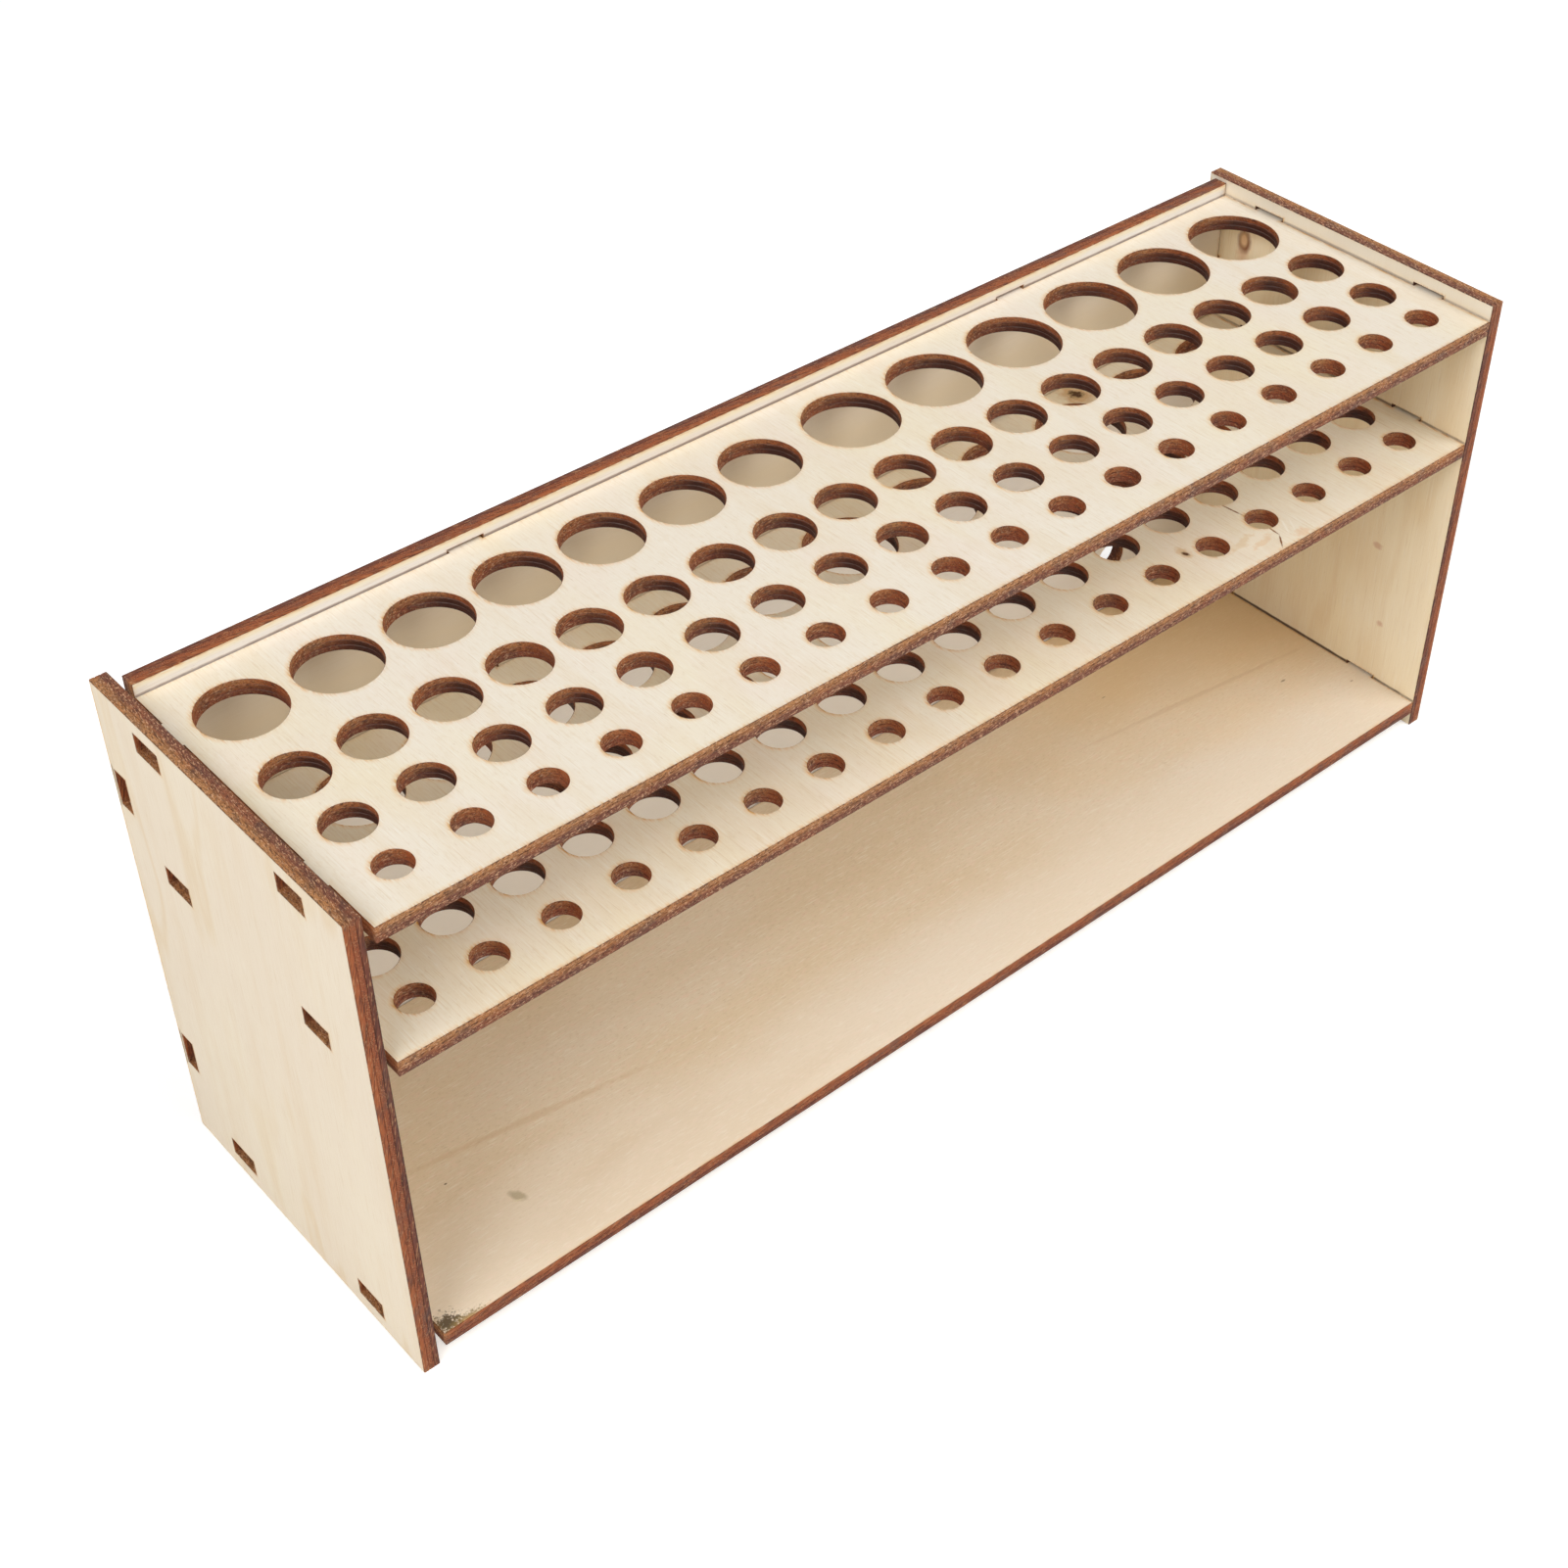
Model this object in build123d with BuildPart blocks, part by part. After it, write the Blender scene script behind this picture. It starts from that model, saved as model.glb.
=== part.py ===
"""A tabletop paintbrush rack of laser-cut plywood.

Six flat panels slot together with tabs: two end panels, a back panel and three shelves.
The top and middle shelves carry the same four rows of holes, so that a brush dropped
through the top one is held upright by the one below. The bottom shelf is plain.

Millimetres. X runs along the rack, Y from its open front to its back, Z up.
The origin is under the middle of the rack, on the surface that it stands on.
"""
import os

from build123d import *

os.makedirs("parts", exist_ok=True)

# Sheet and overall sizes
sheet = 4.0  # thickness of the plywood
shelf_length = 321.0  # between the end panels, without tabs
panel_height = 132.0  # end panels
shelf_inset = 4.2  # top face of the top shelf, and underside of the bottom one, from the panels' ends
upper_bay = 31.4  # clear height between the top and middle shelves
back_inset = 1.0  # back panel's lower and upper edges, from the panels' ends
back_overhang = 1.8  # how far the end panels reach behind the back panel
left_gap = 1.9  # the left end panel isn't pushed fully home on its tabs

# Brush holes, from the front row to the rear row
front_diameter = 8.0
second_diameter = 11.2
third_diameter = 13.8
rear_small_diameter = 19.0
rear_large_diameter = 23.0
front_margin = 8.0  # from the shelf's front edge to the first row of holes
row_web = 5.6  # wood left between one row and the next, and behind the last
column_web = 3.7  # wood left between neighbours of the third row, which sets the pitch of three rows
column_margin = 8.0  # least distance from a shelf's end to a hole's centre
front_rows_shift = 0.3  # the first two rows sit this far right of the shelf's middle
rear_web = 3.15  # wood left between neighbours of the rear row
rear_left_margin = 4.8  # from the shelf's left end to the first hole of the rear row
rear_right_margin = 4.4  # from the last hole of the rear row to the shelf's right end

# Tabs and slots
tab_width = 8.8
end_tab_pitch = 52.2  # between the two tabs at each end of a shelf
rear_tab_inset = 79.25  # from a shelf's ends to its rear tabs
back_tab_pitch = 78.0  # between the two tabs at each end of the back panel
slot_clearance = 0.2  # at each side of a tab
slot_headroom = 0.7  # above a tab, which rests on its slot's lower edge

# Screw holes for hanging the rack on a wall
wall_hole_diameter = 10.0
wall_hole_inset = 32.6  # from the back panel's ends
wall_hole_height = 25.6  # above the surface that the rack stands on

# Places along the rack
rack_length = shelf_length + left_gap + 2 * sheet
left_panel_x = -rack_length / 2  # outer face
shelf_left = left_panel_x + sheet + left_gap
shelf_right = shelf_left + shelf_length
shelf_middle = (shelf_left + shelf_right) / 2

# Rows of holes, as distances of their centres from the front edge of a shelf
front_row = front_margin + front_diameter / 2
second_row = front_row + front_diameter / 2 + row_web + second_diameter / 2
third_row = second_row + second_diameter / 2 + row_web + third_diameter / 2
rear_largest = max(rear_small_diameter, rear_large_diameter)
rear_row = third_row + third_diameter / 2 + row_web + rear_largest / 2

# Places from front to back
shelf_depth = rear_row + rear_largest / 2 + row_web
panel_depth = shelf_depth + sheet + back_overhang
front_y = -panel_depth / 2
back_y = front_y + shelf_depth  # front face of the back panel
tab_length = sheet
tab_row_middle = front_y + (shelf_depth + tab_length) / 2

# Heights of the shelves' undersides
bottom_z = shelf_inset
top_z = panel_height - shelf_inset - sheet
middle_z = top_z - upper_bay - sheet
shelf_heights = [bottom_z, middle_z, top_z]
back_height = panel_height - 2 * back_inset

# Slots are larger than the tabs that they take
slot_width = tab_width + 2 * slot_clearance
slot_height = sheet + slot_headroom
rear_tab_xs = [shelf_left + rear_tab_inset, shelf_right - rear_tab_inset]
end_tab_ys = [tab_row_middle - end_tab_pitch / 2, tab_row_middle + end_tab_pitch / 2]
back_tab_zs = [(panel_height - back_tab_pitch) / 2, (panel_height + back_tab_pitch) / 2]


def column_places(shift):
    """X of each hole in a row of the shared pitch, moved by a shift from the shelf's middle."""
    pitch = third_diameter + column_web
    count = int((shelf_length - 2 * column_margin) // pitch) + 1
    first = shelf_middle + shift - pitch * (count - 1) / 2
    return [first + pitch * i for i in range(count)]


def rear_places():
    """X of the rear row's smaller holes, which start at the left, and of its larger ones, at the right."""
    small_pitch = rear_small_diameter + rear_web
    large_pitch = rear_large_diameter + rear_web
    small_count = int((shelf_length / 2 - rear_left_margin + rear_web) // small_pitch)
    large_count = int((shelf_length / 2 - rear_right_margin + rear_web) // large_pitch)
    first_small = shelf_left + rear_left_margin + rear_small_diameter / 2
    last_large = shelf_right - rear_right_margin - rear_large_diameter / 2
    small = [first_small + small_pitch * i for i in range(small_count)]
    large = [last_large - large_pitch * i for i in reversed(range(large_count))]
    return small, large


def shelf_outline():
    """A shelf's rectangle with its tabs: two at each end and two at the rear."""
    with BuildSketch() as outline:
        with Locations((shelf_middle, front_y + shelf_depth / 2)):
            Rectangle(shelf_length, shelf_depth)
        end_tab_xs = [shelf_left - tab_length / 2, shelf_right + tab_length / 2]
        with Locations([(x, y) for x in end_tab_xs for y in end_tab_ys]):
            Rectangle(tab_length, tab_width)
        with Locations([(x, back_y + tab_length / 2) for x in rear_tab_xs]):
            Rectangle(tab_width, tab_length)
    return outline.sketch


def brush_holes():
    """The four rows of holes that the top and middle shelves share."""
    front_columns = column_places(front_rows_shift)
    third_columns = column_places(0)
    small_places, large_places = rear_places()
    rows = [
        (front_row, front_diameter, front_columns),
        (second_row, second_diameter, front_columns),
        (third_row, third_diameter, third_columns),
        (rear_row, rear_small_diameter, small_places),
        (rear_row, rear_large_diameter, large_places),
    ]
    with BuildSketch() as holes:
        for distance, diameter, places in rows:
            with Locations([(x, front_y + distance) for x in places]):
                Circle(diameter / 2)
    return holes.sketch


def end_panel_outline():
    """An end panel, drawn with Y across and Z up: six slots for shelf tabs, two for the back panel's."""
    with BuildSketch() as outline:
        with Locations((0, panel_height / 2)):
            Rectangle(panel_depth, panel_height)
        shelf_slots = [(y, z + slot_height / 2) for y in end_tab_ys for z in shelf_heights]
        with Locations(shelf_slots):
            Rectangle(slot_width, slot_height, mode=Mode.SUBTRACT)
        with Locations([(back_y + sheet / 2, z) for z in back_tab_zs]):
            Rectangle(sheet + 2 * slot_clearance, slot_width, mode=Mode.SUBTRACT)
    return outline.sketch


# Shelves
with BuildPart() as bottom_shelf:
    with BuildSketch(Plane.XY.offset(bottom_z)):
        add(shelf_outline())
    extrude(amount=sheet)

with BuildPart() as middle_shelf:
    with BuildSketch(Plane.XY.offset(middle_z)):
        add(shelf_outline())
        add(brush_holes(), mode=Mode.SUBTRACT)
    extrude(amount=sheet)

with BuildPart() as top_shelf:
    with BuildSketch(Plane.XY.offset(top_z)):
        add(shelf_outline())
        add(brush_holes(), mode=Mode.SUBTRACT)
    extrude(amount=sheet)

# End panels, each drawn on its left face
with BuildPart() as left_end_panel:
    with BuildSketch(Plane.YZ.offset(left_panel_x)):
        add(end_panel_outline())
    extrude(amount=sheet)

with BuildPart() as right_end_panel:
    with BuildSketch(Plane.YZ.offset(shelf_right)):
        add(end_panel_outline())
    extrude(amount=sheet)

# Back panel, drawn on its front face, which the shelves' rear edges meet
back_face = Plane(origin=(0, back_y, 0), x_dir=(1, 0, 0), z_dir=(0, -1, 0))
with BuildPart() as back_panel:
    with BuildSketch(back_face):
        with Locations((shelf_middle, back_inset + back_height / 2)):
            Rectangle(shelf_length, back_height)
        back_tab_xs = [shelf_left - tab_length / 2, shelf_right + tab_length / 2]
        with Locations([(x, z) for x in back_tab_xs for z in back_tab_zs]):
            Rectangle(tab_length, tab_width)
        with Locations([(x, z + slot_height / 2) for x in rear_tab_xs for z in shelf_heights]):
            Rectangle(slot_width, slot_height, mode=Mode.SUBTRACT)
        wall_hole_xs = [shelf_left + wall_hole_inset, shelf_right - wall_hole_inset]
        with Locations([(x, wall_hole_height) for x in wall_hole_xs]):
            Circle(wall_hole_diameter / 2, mode=Mode.SUBTRACT)
    extrude(amount=-sheet)

# Each panel is written to its own file
panels = {
    "left_end_panel": left_end_panel,
    "right_end_panel": right_end_panel,
    "back_panel": back_panel,
    "top_shelf": top_shelf,
    "middle_shelf": middle_shelf,
    "bottom_shelf": bottom_shelf,
}
for name, panel in panels.items():
    panel.part.label = name
    export_step(panel.part, f"parts/{name}.step")
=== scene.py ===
"""A paintbrush rack of laser-cut birch plywood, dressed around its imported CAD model.

Six flat sheets slot together. Each is drawn flat, given its thickness, its glue lines and its
scorched cuts by one Geometry Nodes tree, and then stood where the CAD has it. Lengths are in metres.
The patterns and marks of the wood and the rows of holes are listed in millimetres.
"""
import math
from functools import partial

import bpy
from mathutils import Matrix, Vector


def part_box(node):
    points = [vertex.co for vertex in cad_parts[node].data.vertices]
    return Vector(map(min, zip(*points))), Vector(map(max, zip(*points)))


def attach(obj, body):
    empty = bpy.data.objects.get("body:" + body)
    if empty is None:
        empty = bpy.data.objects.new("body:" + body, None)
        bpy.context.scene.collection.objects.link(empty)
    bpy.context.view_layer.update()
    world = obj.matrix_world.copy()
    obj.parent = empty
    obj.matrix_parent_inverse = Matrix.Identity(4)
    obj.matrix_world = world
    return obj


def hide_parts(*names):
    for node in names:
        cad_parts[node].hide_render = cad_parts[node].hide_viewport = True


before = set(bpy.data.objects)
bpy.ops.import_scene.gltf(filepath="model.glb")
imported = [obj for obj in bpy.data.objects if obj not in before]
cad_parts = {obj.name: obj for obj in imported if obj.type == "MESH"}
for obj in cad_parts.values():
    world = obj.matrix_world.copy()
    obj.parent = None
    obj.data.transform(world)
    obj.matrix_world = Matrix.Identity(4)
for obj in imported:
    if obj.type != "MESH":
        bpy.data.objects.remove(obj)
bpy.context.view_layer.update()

# Left and right end panels
# Two identical 4 mm birch plywood sheets, cut by a laser that leaves every edge charred.
# Each has six slots for the shelves' tabs and two for the back panel's, and nothing else holds it.
mm = 0.001
slot_length = 9.2 * mm
slot_width = 4.7 * mm
upright_slot_width = 4.4 * mm
end_tab_spread = 52.2 * mm
back_tab_spread = 78.0 * mm
edge_step = 3.0 * mm  # between the points of a straight cut
hole_sides = 48


def linear(hex_colour):
    """An sRGB hex colour as the linear RGBA that Blender's sockets take."""
    channels = [int(hex_colour[i:i + 2], 16) / 255 for i in (1, 3, 5)]
    return [c / 12.92 if c <= 0.04045 else ((c + 0.055) / 1.055) ** 2.4 for c in channels] + [1.0]


def add_node(tree, kind, links=None, **settings):
    """Adds a node with its settings, and links or sets its inputs. A node given for an input
    stands for its first output in use."""
    node = tree.nodes.new(kind)
    for name, value in settings.items():
        setattr(node, name, value)
    for key, value in (links or {}).items():
        if isinstance(value, bpy.types.Node):
            value = next(output for output in value.outputs if output.enabled)
        if isinstance(value, bpy.types.NodeSocket):
            tree.links.new(value, node.inputs[key])
        else:
            node.inputs[key].default_value = value
    return node


def closed_loop(corners):
    """Points at even steps along a closed outline, with every corner kept."""
    points = []
    for start, end in zip(corners, corners[1:] + corners[:1]):
        steps = max(1, round((Vector(end) - Vector(start)).length / edge_step))
        points += [Vector(start).lerp(Vector(end), i / steps) for i in range(steps)]
    return points


def rectangle(low_x, low_y, high_x, high_y):
    """The corners of an upright rectangle, anticlockwise."""
    return [(low_x, low_y), (high_x, low_y), (high_x, high_y), (low_x, high_y)]


def outline_object(name, loops):
    """An object whose mesh is only the closed lines that the laser follows on the flat sheet."""
    points, edges = [], []
    for loop in loops:
        first = len(points)
        places = closed_loop(loop)
        points += [(p[0], p[1], 0) for p in places]
        edges += [(first + i, first + (i + 1) % len(places)) for i in range(len(places))]
    mesh = bpy.data.meshes.new(name)
    mesh.from_pydata(points, edges, [])
    piece = bpy.data.objects.new(name, mesh)
    bpy.context.scene.collection.objects.link(piece)
    return piece


def new_tree(name, inputs):
    """A Geometry Nodes tree with named inputs, given as name: (socket kind, default)."""
    tree = bpy.data.node_groups.new(name, "GeometryNodeTree")
    tree.interface.new_socket("Geometry", in_out="INPUT", socket_type="NodeSocketGeometry")
    tree.interface.new_socket("Geometry", in_out="OUTPUT", socket_type="NodeSocketGeometry")
    for label, (kind, default) in inputs.items():
        socket = tree.interface.new_socket(label, in_out="INPUT", socket_type=kind)
        if default is not None:
            socket.default_value = default
    return tree


sheet_inputs = {
    "Thickness": ("NodeSocketFloat", 4 * mm),
    "Edge Wear": ("NodeSocketFloat", 0.16 * mm),
    "Glue Line Width": ("NodeSocketFloat", 0.24 * mm),
    "Glue Line Depth": ("NodeSocketFloat", 0.12 * mm),
    "Scorch Width": ("NodeSocketFloat", 1.2 * mm),
    "Smoke Direction": ("NodeSocketVector", (-0.95, 0.3, 0)),
    "Grain Angle": ("NodeSocketFloat", 0.0),
    "Beam Entry": ("NodeSocketFloat", 1.0),
    "Pattern Offset": ("NodeSocketVector", (0, 0, 0)),
    "Veneer": ("NodeSocketMaterial", None),
    "Charred Edge": ("NodeSocketMaterial", None),
}


def laser_cut_sheet():
    """The tree that turns flat closed lines into a plywood sheet with charred, grooved, worn edges."""
    level_tolerance = 0.01 * mm
    weld_distance = 0.004 * mm
    band_ends = (0.35, 1.0)  # of the two scorched bands, as shares of the scorch width
    crisp_angle = math.radians(30)
    wall_tilt = 0.95  # a face whose normal has less than this upwards is a cut wall
    tree = new_tree("laser_cut_sheet", sheet_inputs)
    add = partial(add_node, tree)
    given = add("NodeGroupInput").outputs
    thickness = given["Thickness"]
    wear = given["Edge Wear"]
    half_groove = add("ShaderNodeMath", {0: given["Glue Line Width"], 1: 0.5}, operation="MULTIPLY")
    ply = add("ShaderNodeMath", {0: thickness, 1: 3.0}, operation="DIVIDE")
    two_plies = add("ShaderNodeMath", {0: ply, 1: 2.0}, operation="MULTIPLY")
    worn_ply = add("ShaderNodeMath", {0: ply, 1: wear}, operation="SUBTRACT")
    outer_ply = add("ShaderNodeMath", {0: worn_ply, 1: half_groove}, operation="SUBTRACT")
    core_ply = add("ShaderNodeMath", {0: ply, 1: given["Glue Line Width"]}, operation="SUBTRACT")

    # The cut lines are filled and raised level by level: worn edge, ply, both halves of a glue line, ply,
    # both halves of the other glue line, ply, worn edge
    mesh = add("GeometryNodeFillCurve", {0: given["Geometry"]}, mode="TRIANGLES").outputs[0]
    top = None
    rises = (wear, outer_ply, half_groove, half_groove, core_ply, half_groove, half_groove, outer_ply, wear)
    for rise in rises:
        links = {"Mesh": mesh, "Offset": (0, 0, 1), "Offset Scale": rise, "Individual": False}
        if top:
            links["Selection"] = top
        raised = add("GeometryNodeExtrudeMesh", links, mode="FACES")
        mesh, top = raised.outputs["Mesh"], raised.outputs["Top"]
    mesh = add("GeometryNodeDeleteGeometry", {"Geometry": mesh, "Selection": top}, domain="FACE")

    # A step into the wood from each point of a wall, longer at corners so that lines stay parallel
    normal = add("GeometryNodeInputNormal").outputs[0]
    face_normal = add("GeometryNodeFieldOnDomain", {0: normal}, domain="FACE", data_type="FLOAT_VECTOR")
    squared = add("ShaderNodeVectorMath", {0: face_normal, 1: face_normal}, operation="DOT_PRODUCT")
    shorten = add("ShaderNodeMath", {0: -1.0, 1: squared}, operation="DIVIDE")
    inward = add("ShaderNodeVectorMath", {0: face_normal, "Scale": shorten}, operation="SCALE")
    smoke = add("ShaderNodeVectorMath", {0: inward, 1: given["Smoke Direction"]}, operation="DOT_PRODUCT")
    position = add("GeometryNodeInputPosition")
    height = add("ShaderNodeSeparateXYZ", {0: position}).outputs["Z"]
    through = add("ShaderNodeMath", {0: height, 1: thickness}, operation="DIVIDE")
    from_entry = add("ShaderNodeMath", {0: given["Beam Entry"], 1: through}, operation="SUBTRACT")
    beam_depth = add("ShaderNodeMath", {0: from_entry}, operation="ABSOLUTE")
    to_grain = add("ShaderNodeMath", {0: given["Grain Angle"], 1: -1.0}, operation="MULTIPLY")
    turned = add("ShaderNodeVectorRotate", {"Vector": position, "Angle": to_grain}, rotation_type="Z_AXIS")
    place = add("ShaderNodeVectorMath", {0: turned, 1: given["Pattern Offset"]}, operation="ADD")
    unit = add("ShaderNodeVectorMath", {0: inward}, operation="NORMALIZE")
    unit_turned = add("ShaderNodeVectorRotate", {"Vector": unit, "Angle": to_grain}, rotation_type="Z_AXIS")
    along = add("ShaderNodeSeparateXYZ", {0: unit_turned}).outputs["X"]
    end_grain = add("ShaderNodeMath", {0: along}, operation="ABSOLUTE")

    # Where two sides of a hole meet, the mean of their normals is a little shorter than on a straight wall
    at_hole = math.cos(math.pi / hole_sides) ** 2
    tolerance = 0.6 * (1 - at_hole)
    round_cut = add("ShaderNodeMath", {0: squared, 1: at_hole, 2: tolerance}, operation="COMPARE")
    point_values = {
        "inward": ("FLOAT_VECTOR", inward),
        "smoke": ("FLOAT", smoke),
        "from_cut": ("FLOAT", 0.0),
        "beam_depth": ("FLOAT", beam_depth),
        "end_grain": ("FLOAT", end_grain),
        "round_cut": ("FLOAT", round_cut),
        "sheet_place": ("FLOAT_VECTOR", place),
    }
    for name, (kind, value) in point_values.items():
        mesh = add("GeometryNodeStoreNamedAttribute", {"Geometry": mesh, "Name": name, "Value": value},
                   data_type=kind, domain="POINT")
    inward = add("GeometryNodeInputNamedAttribute", {"Name": "inward"}, data_type="FLOAT_VECTOR")

    # Glue lines are burnt back a little, and both rims of a cut are worn
    for level, depth in ((ply, "Glue Line Depth"), (two_plies, "Glue Line Depth"),
                         (0.0, "Edge Wear"), (thickness, "Edge Wear")):
        near = add("ShaderNodeMath", {0: height, 1: level, 2: level_tolerance}, operation="COMPARE")
        step = add("ShaderNodeVectorMath", {0: inward, "Scale": given[depth]}, operation="SCALE")
        mesh = add("GeometryNodeSetPosition", {"Geometry": mesh, "Selection": near, "Offset": step})

    # Two bands of each face beside a cut, where the smoke stains the veneer. A rim has one face beside it.
    faces_beside = add("GeometryNodeInputMeshEdgeNeighbors")
    rim = add("ShaderNodeMath", {0: faces_beside, 1: 1.0, 2: 0.1}, operation="COMPARE")
    last_end = 0.0
    for end in band_ends:
        band = add("GeometryNodeExtrudeMesh", {"Mesh": mesh, "Selection": rim, "Offset Scale": 0.0},
                   mode="EDGES")
        rim = band.outputs["Top"]
        width = add("ShaderNodeMath", {0: given["Scorch Width"], 1: end - last_end}, operation="MULTIPLY")
        step = add("ShaderNodeVectorMath", {0: inward, "Scale": width}, operation="SCALE")
        mesh = add("GeometryNodeSetPosition", {"Geometry": band, "Selection": rim, "Offset": step})
        mesh = add("GeometryNodeStoreNamedAttribute",
                   {"Geometry": mesh, "Selection": rim, "Name": "from_cut", "Value": end},
                   data_type="FLOAT", domain="POINT")
        last_end = end

    # The rest of the two faces
    middle = add("ShaderNodeMath", {0: thickness, 1: 0.5}, operation="MULTIPLY")
    upper = add("ShaderNodeMath", {0: height, 1: middle}, operation="GREATER_THAN")
    upper_rim = add("FunctionNodeBooleanMath", {0: rim, 1: upper}, operation="AND")
    lines = add("GeometryNodeSeparateGeometry", {"Geometry": mesh, "Selection": upper_rim}, domain="EDGE")
    curves = add("GeometryNodeMeshToCurve", {"Mesh": lines})
    rest = add("GeometryNodeFillCurve", {0: curves}, mode="TRIANGLES")
    for name, value in (("from_cut", 1.0), ("smoke", 0.0)):
        rest = add("GeometryNodeStoreNamedAttribute", {"Geometry": rest, "Name": name, "Value": value},
                   data_type="FLOAT", domain="POINT")
    lift = add("ShaderNodeCombineXYZ", {"Z": thickness})
    above = add("GeometryNodeTransform", {"Geometry": rest, "Translation": lift})
    below = add("GeometryNodeFlipFaces", {"Mesh": rest})
    whole = add("GeometryNodeJoinGeometry")
    for part in (below, above, mesh):
        tree.links.new(part.outputs[0], whole.inputs[0])
    joined = add("GeometryNodeMergeByDistance", {"Geometry": whole, "Distance": weld_distance})
    joined = add("GeometryNodeStoreNamedAttribute",
                 {"Geometry": joined, "Name": "sheet_place", "Value": place},
                 data_type="FLOAT_VECTOR", domain="POINT")
    joined = add("GeometryNodeRemoveAttribute", {"Geometry": joined, "Name": "inward"})

    # Round walls shade smooth, and every real corner stays crisp
    smooth = add("GeometryNodeSetShadeSmooth", {"Geometry": joined, "Shade Smooth": True}, domain="FACE")
    angle = add("GeometryNodeInputMeshEdgeAngle").outputs["Unsigned Angle"]
    sharp = add("ShaderNodeMath", {0: angle, 1: crisp_angle}, operation="GREATER_THAN")
    crisp = add("GeometryNodeSetShadeSmooth",
                {"Geometry": smooth, "Selection": sharp, "Shade Smooth": False}, domain="EDGE")
    real = add("GeometryNodeRealizeInstances", {0: crisp})
    upwards = add("ShaderNodeSeparateXYZ", {0: normal}).outputs["Z"]
    tilt = add("ShaderNodeMath", {0: upwards}, operation="ABSOLUTE")
    wall = add("ShaderNodeMath", {0: tilt, 1: wall_tilt}, operation="LESS_THAN")
    faced = add("GeometryNodeSetMaterial", {"Geometry": real, "Material": given["Veneer"]})
    edged = add("GeometryNodeSetMaterial",
                {"Geometry": faced, "Selection": wall, "Material": given["Charred Edge"]})
    add("NodeGroupOutput", {0: edged})
    return tree


sheet_tree = laser_cut_sheet()
row_inputs = {
    "First Hole": ("NodeSocketVector", (0, 0, 0)),
    "Pitch": ("NodeSocketFloat", 20 * mm),
    "Count": ("NodeSocketInt", 2),
    "Diameter": ("NodeSocketFloat", 10 * mm),
}


def row_of_holes():
    """The tree for one straight row of equal round holes, as circles on the flat sheet."""
    tree = new_tree("row_of_holes", row_inputs)
    add = partial(add_node, tree)
    given = add("NodeGroupInput").outputs
    step = add("ShaderNodeCombineXYZ", {"X": given["Pitch"]})
    centres = add("GeometryNodeMeshLine",
                  {"Count": given["Count"], "Start Location": given["First Hole"], "Offset": step},
                  mode="OFFSET")
    radius = add("ShaderNodeMath", {0: given["Diameter"], 1: 0.5}, operation="MULTIPLY")
    circle = add("GeometryNodeCurvePrimitiveCircle", {"Resolution": hole_sides, "Radius": radius})
    holes = add("GeometryNodeInstanceOnPoints", {"Points": centres, "Instance": circle})
    real = add("GeometryNodeRealizeInstances", {0: holes})
    add("NodeGroupOutput", {0: real})
    return tree


hole_tree = row_of_holes()


def panel_tree(name, rows):
    """The tree of one kind of panel: its outline, its rows of holes, and the laser-cut sheet."""
    inputs = dict(sheet_inputs)
    for row in rows:
        inputs.update({row + " " + key: row_inputs[key] for key in row_inputs})
    tree = new_tree(name, inputs)
    add = partial(add_node, tree)
    given = add("NodeGroupInput").outputs
    lines = add("GeometryNodeJoinGeometry")
    outline = add("GeometryNodeMeshToCurve", {"Mesh": given["Geometry"]})
    tree.links.new(outline.outputs[0], lines.inputs[0])
    for row in rows:
        holes = add("GeometryNodeGroup", node_tree=hole_tree)
        for key in row_inputs:
            tree.links.new(given[row + " " + key], holes.inputs[key])
        tree.links.new(holes.outputs[0], lines.inputs[0])
    sheet = add("GeometryNodeGroup", node_tree=sheet_tree)
    tree.links.new(lines.outputs[0], sheet.inputs["Geometry"])
    for key in sheet_inputs:
        tree.links.new(given[key], sheet.inputs[key])
    real = add("GeometryNodeRealizeInstances", {0: sheet})
    add("NodeGroupOutput", {0: real})
    return tree


def cut_panel(node, loops, tree, stand, **values):
    """Cuts one panel with its tree, stands it in its place and lets it take the CAD node's part.
    The values are the tree's inputs, named in small letters."""
    drawn = outline_object(node + "_lines", loops)
    modifier = drawn.modifiers.new("cut", "NODES")
    modifier.node_group = tree
    sockets = {s.name: s.identifier for s in tree.interface.items_tree if s.in_out == "INPUT"}
    for label, value in values.items():
        modifier[sockets[label.replace("_", " ").title()]] = value
    graph = bpy.context.evaluated_depsgraph_get()
    mesh = bpy.data.meshes.new_from_object(drawn.evaluated_get(graph), preserve_all_data_layers=True,
                                           depsgraph=graph)
    drawn.modifiers.remove(modifier)
    bpy.data.objects.remove(drawn)
    if mesh.materials[0] is None:
        mesh.materials.pop(index=0)
    mesh.transform(stand)
    mesh.name = node + "_plywood"
    piece = bpy.data.objects.new(node + "_plywood", mesh)
    bpy.context.scene.collection.objects.link(piece)
    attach(piece, "root")
    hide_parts(node)
    return piece


def new_material(name):
    """An empty node material, and the function that adds nodes to it."""
    material = bpy.data.materials.new(name)
    material.use_nodes = True
    material.node_tree.nodes.clear()
    return material, partial(add_node, material.node_tree)


def noise_of(add, place, size, seed):
    """Noise whose features measure size millimetres along the grain, across it and through the sheet.
    The seed takes it from another part of the noise."""
    per_metre = [1 / (s * mm) for s in size]
    scaled = add("ShaderNodeMapping", {"Vector": place, "Location": (seed, seed, seed), "Scale": per_metre})
    return add("ShaderNodeTexNoise", {"Vector": scaled, "Scale": 1.0, "Detail": 2.0, "Roughness": 0.55})


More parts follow.
